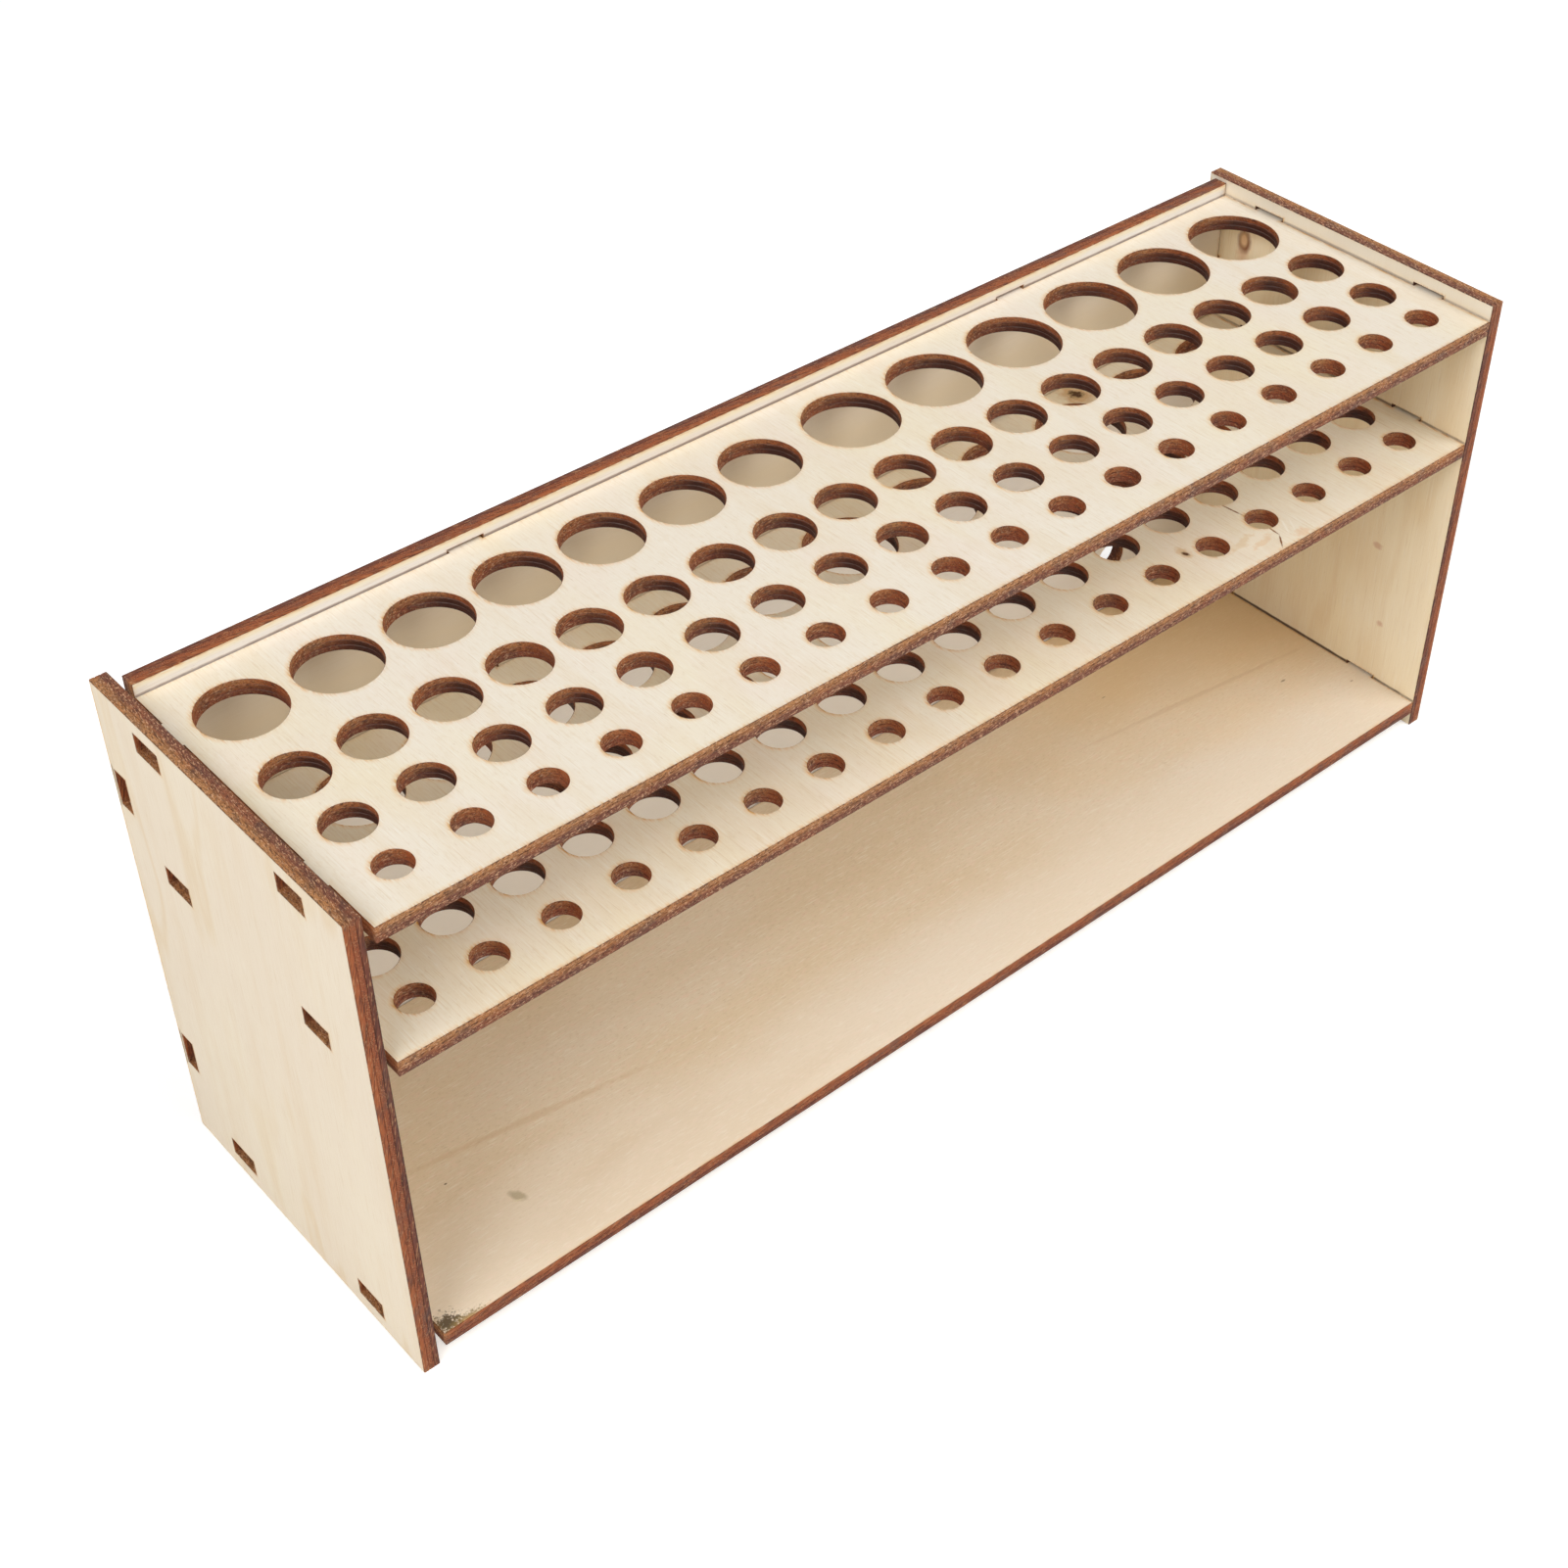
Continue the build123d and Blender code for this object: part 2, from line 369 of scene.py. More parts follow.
def tinted(add, place, colour, layers):
    """A colour with patterns laid over it. Each layer is its tone, the size of its features, the noise
    values between which it comes in, its strength, and the share of the surface that it is kept to."""
    shares = []
    for number, (tone, size, low, high, strength, keep) in enumerate(layers):
        noise = noise_of(add, place, size, seed=3.0 + 7.0 * number)
        share = add("ShaderNodeMapRange",
                    {"Value": noise, "From Min": low, "From Max": high, "To Max": strength})
        if keep is not None:
            share = add("ShaderNodeMath", {0: share, 1: keep}, operation="MULTIPLY")
        colour = add("ShaderNodeMix", {0: share, 6: colour, 7: linear(tone)}, data_type="RGBA")
        shares.append(share)
    return colour, shares


def veneer(name, ground, layers, figure, toast, marks=()):
    """Rotary-cut birch veneer, sanded and left raw: pale and dull, with hairlines and short dark pores
    drawn out along the grain, the growth rings surfacing as a few long curved lines, and a toasted,
    streaky band beside each cut, strongest on the side to which the laser's smoke was blown. The last
    two layers, fine hairlines and pores, lie a little deeper than the rest. The figure is the rings'
    tone, the size of their noise, how many there are, their width and their strength."""
    material, add = new_material(name)
    place = add("ShaderNodeAttribute", attribute_name="sheet_place").outputs["Vector"]

    # Growth rings: contour lines of one long, slow noise
    tone, size, rings, width, strength = figure
    slow = noise_of(add, place, size, seed=1.0)
    many = add("ShaderNodeMath", {0: slow, 1: rings}, operation="MULTIPLY")
    folded = add("ShaderNodeMath", {0: many, 1: 1.0}, operation="PINGPONG")
    ring = add("ShaderNodeMapRange",
               {"Value": folded, "From Min": width, "From Max": 0.0, "To Max": strength},
               interpolation_type="SMOOTHSTEP")
    colour = add("ShaderNodeMix", {0: ring, 6: linear(ground), 7: linear(tone)}, data_type="RGBA")
    colour, shares = tinted(add, place, colour, [layer + (None,) for layer in layers])

    # Knots, cracks and stains are ellipsoids about places on the rack, with centres and radii in
    # millimetres and turns in degrees. Noise with features of crumb millimetres makes their rims ragged.
    here = add("ShaderNodeTexCoord").outputs["Object"]
    full = 0.45  # share of the radii within which a mark has its full strength
    for tone, strength, centre, radii, turn, rag, crumb in marks:
        local = add("ShaderNodeMapping",
                    {"Vector": here, "Location": [c * mm for c in centre],
                     "Rotation": (0, 0, math.radians(turn)), "Scale": [r * mm for r in radii]},
                    vector_type="TEXTURE")
        radius = add("ShaderNodeVectorMath", {0: local}, operation="LENGTH")
        wobble = noise_of(add, here, (crumb, crumb, crumb), seed=5.0)
        rough_rim = add("ShaderNodeMath", {0: wobble, 1: 2 * rag, 2: radius}, operation="MULTIPLY_ADD")
        inside = add("ShaderNodeMapRange",
                     {"Value": rough_rim, "From Min": 1 + rag, "From Max": full + rag, "To Max": strength})
        colour = add("ShaderNodeMix", {0: inside, 6: colour, 7: linear(tone)}, data_type="RGBA")

    # Toast: a wide pale orange glow, and a narrow brown line at the very rim
    from_cut = add("ShaderNodeAttribute", attribute_name="from_cut").outputs["Fac"]
    smoke = add("ShaderNodeAttribute", attribute_name="smoke").outputs["Fac"]
    near = add("ShaderNodeMath", {0: 1.0, 1: from_cut}, operation="SUBTRACT")
    lee = add("ShaderNodeMapRange", {"Value": smoke, "From Min": -0.4, "To Min": 0.25})
    streaks = noise_of(add, place, (2.6, 0.45, 0.45), seed=40.0)
    ragged = add("ShaderNodeMapRange", {"Value": streaks, "From Min": 0.36, "From Max": 0.64, "To Min": 0.1})
    for tone, falloff, strength in (("#eab35c", 1.15, 1.0), ("#9a6032", 4.0, 0.55)):
        close = add("ShaderNodeMath", {0: near, 1: falloff}, operation="POWER")
        blown = add("ShaderNodeMath", {0: close, 1: lee}, operation="MULTIPLY")
        broken = add("ShaderNodeMath", {0: blown, 1: ragged}, operation="MULTIPLY")
        share = add("ShaderNodeMath", {0: broken, 1: strength * toast}, operation="MULTIPLY", use_clamp=True)
        colour = add("ShaderNodeMix", {0: share, 6: colour, 7: linear(tone)}, data_type="RGBA")

    relief = add("ShaderNodeMath", {0: shares[-2], 1: shares[-1]}, operation="ADD")
    bump = add("ShaderNodeBump", {"Strength": 0.4, "Distance": -0.05 * mm, "Height": relief})
    shader = add("ShaderNodeBsdfPrincipled", {"Base Color": colour, "Roughness": 0.7, "IOR": 1.45,
                                              "Normal": bump, "Specular IOR Level": 0.3})
    add("ShaderNodeOutputMaterial", {"Surface": shader})
    return material


def charred_edge():
    """Plywood edge burnt by the laser: dull brown, in three plies, tan where the beam came in and
    purple-brown where it left. An edge along the grain is redder, with long dark streaks that lean a
    little, and one across it shows fibre ends as pale and dark specks. The wall of a round hole is
    redder too, and nearly black on the side that faces against the smoke direction, most behind the
    front row, where this darkness is partly painted shade. Greyish lines there are a painted sheen."""
    streak_lean = (math.radians(10), math.radians(12), 0)
    material, add = new_material("laser_charred_birch_edge")
    flat = add("ShaderNodeAttribute", attribute_name="sheet_place").outputs["Vector"]
    place = add("ShaderNodeMapping", {"Vector": flat, "Rotation": streak_lean})
    depth = add("ShaderNodeAttribute", attribute_name="beam_depth").outputs["Fac"]
    across = add("ShaderNodeAttribute", attribute_name="end_grain").outputs["Fac"]
    end_grain = add("ShaderNodeMapRange", {"Value": across, "From Min": 0.35, "From Max": 0.85})
    long_grain = add("ShaderNodeMath", {0: 1.0, 1: end_grain}, operation="SUBTRACT")

    # Tones from the face where the beam came in to the one where it left, along the grain and across it,
    # on levels that wander a little
    wander = 0.08
    unsteady = noise_of(add, flat, (2.5, 2.5, 2.5), seed=50.0)
    shifted = add("ShaderNodeMath", {0: unsteady, 1: wander, 2: depth}, operation="MULTIPLY_ADD")
    centred = add("ShaderNodeMath", {0: shifted, 1: wander / 2}, operation="SUBTRACT")
    long_stops = [(0.0, "#7a4526"), (0.05, "#a55c33"), (0.3, "#9e5530"), (0.34, "#88482c"), (0.38, "#985331"),
                  (0.6, "#8e4a2c"), (0.66, "#56291a"), (0.71, "#77412f"), (0.9, "#653628"), (1.0, "#2e1610")]
    end_stops = [(0.0, "#563019"), (0.05, "#b98252"), (0.32, "#b27a4b"), (0.36, "#925f3d"), (0.42, "#a47048"),
                 (0.52, "#915a3c"), (0.6, "#7b4937"), (0.7, "#7d4b3a"), (0.93, "#6f4030"), (1.0, "#331b12")]
    ramps = []
    for stops in (long_stops, end_stops):
        plies = add("ShaderNodeValToRGB", {"Fac": centred})
        elements = plies.color_ramp.elements
        while len(elements) < len(stops):
            elements.new(0.5)
        for element, (at, tone) in zip(elements, stops):
            element.position = at
            element.color = linear(tone)
        ramps.append(plies)
    colour = add("ShaderNodeMix", {0: end_grain, 6: ramps[0], 7: ramps[1]}, data_type="RGBA")

    # The outer plies are drawn out along the grain, the core across it
    half_core = 1 / 6  # from the sheet's middle to each glue line, as a share of its thickness
    off_middle = add("ShaderNodeMath", {0: centred, 1: 0.5}, operation="SUBTRACT")
    from_middle = add("ShaderNodeMath", {0: off_middle}, operation="ABSOLUTE")
    outer = add("ShaderNodeMath", {0: from_middle, 1: half_core}, operation="GREATER_THAN")
    core = add("ShaderNodeMath", {0: 1.0, 1: outer}, operation="SUBTRACT")

    # A round wall is darker on the side that faces against the smoke direction, least in its first ply
    round_cut = add("ShaderNodeAttribute", attribute_name="round_cut").outputs["Fac"]
    smoke = add("ShaderNodeAttribute", attribute_name="smoke").outputs["Fac"]
    windward = add("ShaderNodeMapRange", {"Value": smoke, "From Min": 0.6, "From Max": -0.6, "To Max": 0.8})
    deep = add("ShaderNodeMapRange", {"Value": centred, "From Min": 0.28, "From Max": 0.42, "To Min": 0.2})
    smoky_side = add("ShaderNodeMath", {0: windward, 1: round_cut}, operation="MULTIPLY")
    clean = add("ShaderNodeMath", {0: 1.0, 1: smoky_side}, operation="SUBTRACT")

    # The small holes of the front row are hardly darkened, and some of the others less than the rest. The
    # near-black of the walls behind the front row is partly painted shade, the shade deep in those holes.
    here = add("ShaderNodeTexCoord").outputs["Object"]
    behind = add("ShaderNodeSeparateXYZ", {0: here}).outputs["Y"]
    larger = add("ShaderNodeMapRange",
                 {"Value": behind, "From Min": -29 * mm, "From Max": -26 * mm, "To Min": 0.12})
    patchy = noise_of(add, flat, (26.0, 26.0, 26.0), seed=60.0)
    uneven = add("ShaderNodeMapRange",
                 {"Value": patchy, "From Min": 0.36, "From Max": 0.47, "To Min": 0.45, "To Max": 1.15})
    held = add("ShaderNodeMath", {0: larger, 1: uneven}, operation="MULTIPLY")
    char_and_shade_side = add("ShaderNodeMath", {0: smoky_side, 1: held}, operation="MULTIPLY")
    burnt = add("ShaderNodeMath", {0: char_and_shade_side, 1: deep}, operation="MULTIPLY")
    speckled = add("ShaderNodeMath", {0: end_grain, 1: clean}, operation="MULTIPLY")
    colour, shares = tinted(add, place, colour, [
        ("#9c4a20", (6.0, 6.0, 6.0), 0.3, 0.5, 0.5, round_cut),
        ("#b5693a", (9.0, 9.0, 6.0), 0.5, 0.72, 0.35, None),
        ("#3a1c11", (8.0, 5.0, 3.0), 0.52, 0.7, 0.5, None),
        ("#2e150d", (7.0, 0.3, 0.3), 0.55, 0.63, 0.6, long_grain),
        ("#46251a", (3.0, 0.3, 0.3), 0.52, 0.64, 0.6, outer),
        ("#46251a", (0.3, 3.0, 0.3), 0.52, 0.64, 0.6, core),
        ("#cd9a6c", (2.0, 0.26, 0.26), 0.58, 0.66, 0.5, outer),
        ("#cd9a6c", (0.26, 2.0, 0.26), 0.58, 0.66, 0.5, core),
        ("#47281b", (0.5, 1.1, 0.3), 0.53, 0.62, 0.7, end_grain),
        ("#dfb088", (0.45, 0.9, 0.28), 0.56, 0.65, 0.7, speckled),
    ])
    _, _, sooty, streaks, outer_fibres, core_fibres, _, _, _, pale_specks = shares
    # The round walls' near-black: char, and partly painted shade
    colour = add("ShaderNodeMix", {0: burnt, 6: colour, 7: linear("#2c0e06")}, data_type="RGBA")

    # Painted sheen: greyish lines at the two glue lines, where the wall is darkest, stand for light glancing
    # off the glossy baked resin
    off_glue = add("ShaderNodeMath", {0: from_middle, 1: half_core}, operation="SUBTRACT")
    from_glue = add("ShaderNodeMath", {0: off_glue}, operation="ABSOLUTE")
    sheen_lines = add("ShaderNodeMapRange",
                {"Value": from_glue, "From Min": 0.035, "From Max": 0.015, "To Max": 0.4})
    painted_sheen = add("ShaderNodeMath", {0: sheen_lines, 1: char_and_shade_side}, operation="MULTIPLY")
    colour = add("ShaderNodeMix", {0: painted_sheen, 6: colour, 7: linear("#8d7a72")}, data_type="RGBA")

    # Soot is the smoothest. Streaks and fibres are burnt back, and the pale specks stand proud of them.
    rough = add("ShaderNodeMapRange", {"Value": sooty, "From Max": 0.6, "To Min": 0.7, "To Max": 0.42})
    darker = add("ShaderNodeMath", {0: streaks, 1: outer_fibres}, operation="ADD")
    darkest = add("ShaderNodeMath", {0: darker, 1: core_fibres}, operation="ADD")
    relief = add("ShaderNodeMath", {0: darkest, 1: pale_specks}, operation="SUBTRACT")
    bump = add("ShaderNodeBump", {"Strength": 0.7, "Distance": -0.1 * mm, "Height": relief})
    shader = add("ShaderNodeBsdfPrincipled", {"Base Color": colour, "Roughness": rough, "IOR": 1.5,
                                              "Normal": bump, "Specular IOR Level": 0.3})
    add("ShaderNodeOutputMaterial", {"Surface": shader})
    return material


edge_material = charred_edge()
end_layers = [
    ("#f6ead2", (60, 25, 9), 0.42, 0.68, 0.5),
    ("#e9d2b0", (70, 7, 9), 0.5, 0.74, 0.35),
    ("#fbf2e2", (9, 0.3, 0.3), 0.56, 0.72, 0.35),
    ("#d9bd93", (10, 0.3, 0.3), 0.56, 0.76, 0.35),
    ("#b8935f", (2.2, 0.25, 0.25), 0.65, 0.8, 0.35),
]
end_figure = ("#e6cba0", (120, 24, 20), 7.0, 0.3, 0.4)
# Soot in the joints with the three shelves, a ring-shaped knot high up near the back, a paler upper edge
# and two small pin knots, all on the inner face
inner_face_x = 161.45
right_marks = [
    ("#4a2d1a", 0.9, (inner_face_x, -4.0, 8.4), (2.0, 58.0, 0.62), 0, 0.25, 3.0),
    ("#5e3d26", 0.7, (inner_face_x, -4.0, 92.6), (2.0, 58.0, 0.5), 0, 0.25, 3.0),
    ("#5e3d26", 0.6, (inner_face_x, -4.0, 128.0), (2.0, 58.0, 0.5), 0, 0.25, 3.0),
    ("#d9b08c", 0.7, (inner_face_x, 32.1, 114.5), (2.0, 2.6, 7.0), 0, 0.5, 2.0),
    ("#74391f", 1.0, (inner_face_x, 32.1, 117.3), (2.0, 2.7, 3.9), 0, 0.1, 1.4),
    ("#dcb68a", 1.0, (inner_face_x, 32.3, 117.7), (2.0, 1.7, 2.7), 0, 0.1, 1.4),
    ("#82452a", 0.8, (inner_face_x, 32.6, 121.0), (2.0, 0.6, 1.4), 0, 0.2, 1.4),
    ("#f4ecde", 0.7, (inner_face_x, -4.0, 132.0), (2.0, 900.0, 5.5), 0, 0.1, 3.0),
    ("#cf9f80", 0.6, (inner_face_x, -25.7, 50.1), (2.0, 1.7, 1.4), 0, 0.4, 1.4),
    ("#cf9f80", 0.6, (inner_face_x, -30.8, 26.5), (2.0, 1.3, 1.1), 0, 0.4, 1.4),
]
end_veneers = [
    veneer("birch_veneer_left_end", "#f1e2cc", end_layers, end_figure, toast=0.8),
    # The right panel's ground is yellower than the left's, in part as painted shade: the warm shade on its
    # inner face inside the bays
    veneer("birch_veneer_right_end", "#f3e2c0", end_layers, end_figure, toast=0.8, marks=right_marks),
]
shelf_nodes = ("bottom_shelf", "middle_shelf", "top_shelf")
panel_low, panel_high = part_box("left_end_panel")
back_low, back_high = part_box("back_panel")
shelf_low, shelf_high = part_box("top_shelf")
sheet = shelf_high.z - shelf_low.z
tab_middle = (shelf_low.y + shelf_high.y) / 2
end_tab_places = [tab_middle - end_tab_spread / 2, tab_middle + end_tab_spread / 2]
shelf_floors = [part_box(node)[0].z for node in shelf_nodes]
back_tab_places = [(panel_high.z - back_tab_spread) / 2, (panel_high.z + back_tab_spread) / 2]

end_loops = [rectangle(panel_low.y, panel_low.z, panel_high.y, panel_high.z)]
for y in end_tab_places:
    for z in shelf_floors:
        end_loops.append(rectangle(y - slot_length / 2, z, y + slot_length / 2, z + slot_width))
back_middle = (back_low.y + back_high.y) / 2
for z in back_tab_places:
    end_loops.append(rectangle(back_middle - upright_slot_width / 2, z - slot_length / 2,
                               back_middle + upright_slot_width / 2, z + slot_length / 2))
plain_tree = panel_tree("plain_panel", [])
for side, node in ((0, "left_end_panel"), (1, "right_end_panel")):
    # The flat sheet's x, y and z become the rack's y, z and x
    stand = Matrix(((0, 0, 1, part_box(node)[0].x), (1, 0, 0, 0), (0, 1, 0, 0), (0, 0, 0, 1)))
    piece = cut_panel(node, end_loops, plain_tree, stand, thickness=sheet, scorch_width=0.8 * mm,
                      pattern_offset=(0.31 * side, 0.17 * side, 0.05 * side), beam_entry=float(side),
                      grain_angle=math.radians(90), veneer=end_veneers[side], charred_edge=edge_material)

# Back panel
# The same plywood, standing behind the shelves between the end panels, with two tabs at each end.
# Six slots take the shelves' rear tabs, and two round holes low down let it hang on screws.
wall_hole_diameter = 10.0 * mm
wall_hole_inset = 32.6 * mm
wall_hole_height = 25.6 * mm
rear_tab_inset = 79.25 * mm
tab_width = 8.8 * mm
kerf = 0.15 * mm  # wood lost to the beam, a hairline gap at each butt joint
inner_left = back_low.x + sheet
inner_right = back_high.x - sheet
rear_tab_places = [inner_left + rear_tab_inset, inner_right - rear_tab_inset]


def sides_with_tabs(low_x, high_x, low_y, high_y, tab_ys, rear_tab_xs=()):
    """The corners of a sheet with tabs on its two ends and, where wanted, on its far edge."""
    right = [(high_x, low_y)]
    for y in tab_ys:
        right += [(high_x, y - tab_width / 2), (high_x + sheet, y - tab_width / 2),
                  (high_x + sheet, y + tab_width / 2), (high_x, y + tab_width / 2)]
    far = [(high_x, high_y)]
    for x in reversed(rear_tab_xs):
        far += [(x + tab_width / 2, high_y), (x + tab_width / 2, high_y + sheet),
                (x - tab_width / 2, high_y + sheet), (x - tab_width / 2, high_y)]
    left = [(low_x, high_y)]
    for y in reversed(tab_ys):
        left += [(low_x, y + tab_width / 2), (low_x - sheet, y + tab_width / 2),
                 (low_x - sheet, y - tab_width / 2), (low_x, y - tab_width / 2)]
    return [(low_x, low_y)] + right + far + left


back_layers = [
    ("#eadccd", (80, 30, 9), 0.42, 0.68, 0.5),
    ("#f8f1e8", (12, 0.35, 0.3), 0.54, 0.72, 0.4),
    ("#dac6ab", (12, 0.35, 0.35), 0.54, 0.74, 0.4),
    ("#b6946e", (2.2, 0.25, 0.25), 0.63, 0.78, 0.4),
]
# The rear leaf is creamier than the front one. The front one is palest low down, as painted light in the
# lower bay, yellower between the holed shelves, as painted shade under the top shelf, and yellower at its
# upper rim. Soot lies in its joint with the top shelf.
front_leaf_y = 39.5
rear_leaf_y = 46.0
back_marks = [
    ("#fde0b2", 0.5, (0.0, rear_leaf_y, 66.0), (900.0, 5.0, 400.0), 0, 0.1, 20.0),
    # painted light: paler low down, in the lower bay
    ("#fcf6ec", 0.9, (0.0, front_leaf_y, 25.0), (900.0, 3.0, 80.0), 0, 0.1, 20.0),
    # painted shade: yellower in the upper bay, under the top shelf
    ("#eedcbb", 0.9, (0.0, front_leaf_y, 100.0), (900.0, 3.0, 27.0), 0, 0.1, 20.0),
    ("#fcefcc", 0.6, (0.0, front_leaf_y, 130.7), (900.0, 3.0, 1.7), 0, 0.3, 8.0),
    ("#7a5434", 0.6, (0.0, 40.3, 127.9), (290.0, 2.0, 0.5), 0, 0.25, 3.0),
]
back_figure = ("#e2d0b8", (170, 24, 20), 6.0, 0.3, 0.35)
back_veneer = veneer("birch_veneer_back", "#eee8e1", back_layers, back_figure, toast=0.7, marks=back_marks)
back_loops = [sides_with_tabs(inner_left + kerf, inner_right - kerf, back_low.z, back_high.z,
                              back_tab_places)]
for x in rear_tab_places:
    for z in shelf_floors:
        back_loops.append(rectangle(x - slot_length / 2, z, x + slot_length / 2, z + slot_width))
# The flat sheet's x, y and z become the rack's x, z and backward y, so its lower face is the rear one
back_stand = Matrix(((1, 0, 0, 0), (0, 0, -1, back_high.y), (0, 1, 0, 0), (0, 0, 0, 1)))
back_panel = cut_panel(
    "back_panel", back_loops, panel_tree("back_panel", ["Wall Hole"]), back_stand, thickness=sheet,
    scorch_width=1.0 * mm, smoke_direction=(-0.3, -0.95, 0), pattern_offset=(1.3, 0.2, 0.1),
    veneer=back_veneer, charred_edge=edge_material,
    wall_hole_first_hole=(inner_left + wall_hole_inset, wall_hole_height, 0),
    wall_hole_pitch=inner_right - inner_left - 2 * wall_hole_inset, wall_hole_count=2,
    wall_hole_diameter=wall_hole_diameter)

# Bottom shelf
# A plain sheet that carries paint pots and the feet of the brushes. Two tabs at each end and two
# at the rear hold it. Its veneer is a browner leaf, with long figure lines along the rack, and its ground is
# yellower in part as painted shade, the warm shade of the bay.
front_y = shelf_low.y
rear_y = shelf_high.y - sheet
shelf_loops = [sides_with_tabs(inner_left + kerf, inner_right - kerf, front_y, rear_y - kerf,
                               end_tab_places, rear_tab_places)]
bottom_layers = [
    ("#eee0cd", (70, 30, 9), 0.4, 0.68, 0.6),
    ("#dcc4a0", (110, 16, 9), 0.5, 0.75, 0.35),
    ("#efd3bd", (3.0, 1.4, 1), 0.5, 0.72, 0.5),
    ("#cdb591", (1.4, 0.5, 0.5), 0.54, 0.72, 0.38),
    ("#f8eedd", (3.5, 0.35, 0.3), 0.56, 0.7, 0.5),
    ("#a98560", (1.6, 0.25, 0.25), 0.62, 0.76, 0.34),
]
# A paler strip along the front, which is painted light, a yellower rear right corner, which is painted shade,
# a smear of dried glue, soot at the front left corner, pin knots, and two long faint streaks, all on the
# upper face
bottom_face_z = 8.2
bottom_marks = [
    # painted light: the front of the bay, which the light reaches most, is paler
    ("#f4e8d7", 0.5, (0.0, -46.0, bottom_face_z), (900.0, 32.0, 5.0), 0, 0.2, 25.0),
    # painted shade: the warm, deep shade in the far right corner of the bay
    ("#ecc994", 0.6, (150.0, 38.0, bottom_face_z), (110.0, 75.0, 5.0), 0, 0.3, 25.0),
    ("#b5a585", 0.75, (-126.1, -25.8, bottom_face_z), (2.9, 1.5, 2.0), -60, 0.3, 1.4),
    ("#e4d6b4", 0.8, (-126.6, -27.0, bottom_face_z), (1.6, 0.3, 2.0), -20, 0.3, 1.4),
    ("#54442c", 0.95, (-157.4, -44.4, bottom_face_z), (4.2, 3.2, 2.0), -20, 1.3, 0.5),
    ("#8a7346", 0.8, (-153.5, -45.6, bottom_face_z), (5.0, 1.4, 2.0), 0, 1.2, 0.5),
    ("#6b5638", 0.9, (-136.3, -12.5, bottom_face_z), (0.5, 0.3, 2.0), 0, 0.3, 1.4),
    ("#8a6a48", 0.65, (141.5, -16.2, bottom_face_z), (1.1, 0.45, 2.0), 0, 0.3, 1.4),
    ("#9a7a58", 0.6, (155.9, -28.8, bottom_face_z), (0.7, 0.35, 2.0), 0, 0.3, 1.4),
    ("#9a7a58", 0.55, (98.4, 11.5, bottom_face_z), (0.9, 0.3, 2.0), 0, 0.3, 1.4),
    ("#bf9468", 0.2, (117.5, -4.8, bottom_face_z), (50.0, 0.9, 5.0), -7, 0.6, 7.0),
    ("#c79a5e", 0.24, (-112.0, -9.0, bottom_face_z), (40.0, 1.2, 5.0), -9, 0.6, 7.0),
]
bottom_figure = ("#d2b48a", (190, 44, 20), 5.0, 0.24, 0.4)
bottom_veneer = veneer("birch_veneer_bottom_shelf", "#e7d3b5", bottom_layers, bottom_figure,
                       toast=0.7, marks=bottom_marks)
bottom_shelf = cut_panel(
    "bottom_shelf", shelf_loops, plain_tree, Matrix.Translation((0, 0, shelf_floors[0])), thickness=sheet,
    scorch_width=0.9 * mm, pattern_offset=(0.4, 2.1, 0.7), veneer=bottom_veneer, charred_edge=edge_material)

# Middle and top shelves
# Two like sheets with the same four rows of round holes, 67 in all, one shelf above the other.
# A brush dropped through the top hole is held upright by the one below. The grain runs front to back.
hole_rows = {
    # row: (distance of the centres from the front edge, diameter, count, pitch), in millimetres
    "Front Row": (12.0, 8.0, 18, 17.5),
    "Second Row": (27.2, 11.2, 18, 17.5),
    "Third Row": (45.3, 13.8, 18, 17.5),
    "Rear Small": (69.3, 19.0, 7, 22.15),
    "Rear Large": (69.3, 23.0, 6, 26.15),
}
front_rows_shift = 0.3 * mm
rear_left_margin = 4.8 * mm
rear_right_margin = 4.4 * mm
shelf_middle = (inner_left + inner_right) / 2
row_values = {}
for row, (distance, diameter, count, pitch) in hole_rows.items():
    first_x = shelf_middle - (count - 1) * pitch * mm / 2
    if row in ("Front Row", "Second Row"):
        first_x += front_rows_shift
    if row == "Rear Small":
        first_x = inner_left + rear_left_margin + diameter * mm / 2
    if row == "Rear Large":
        first_x = inner_right - rear_right_margin - diameter * mm / 2 - (count - 1) * pitch * mm
    key = row.lower().replace(" ", "_")
    row_values[key + "_first_hole"] = (first_x, front_y + distance * mm, 0)
    row_values[key + "_pitch"] = pitch * mm
    row_values[key + "_count"] = count
    row_values[key + "_diameter"] = diameter * mm
holed_tree = panel_tree("holed_shelf", list(hole_rows))
shelf_layers = [
    ("#f4e6c6", (50, 28, 9), 0.45, 0.7, 0.6),
    ("#f2e2d2", (25, 14, 9), 0.5, 0.72, 0.45),
    ("#e4d0b0", (2.2, 1.0, 1), 0.54, 0.76, 0.35),
    ("#fbf6ea", (7, 0.3, 0.3), 0.54, 0.72, 0.45),
    ("#d6bb92", (8, 0.3, 0.3), 0.55, 0.75, 0.42),
    ("#b5905f", (2.0, 0.26, 0.25), 0.64, 0.8, 0.4),
]
shelf_figure = ("#e8d2ae", (140, 22, 20), 4.0, 0.3, 0.25)
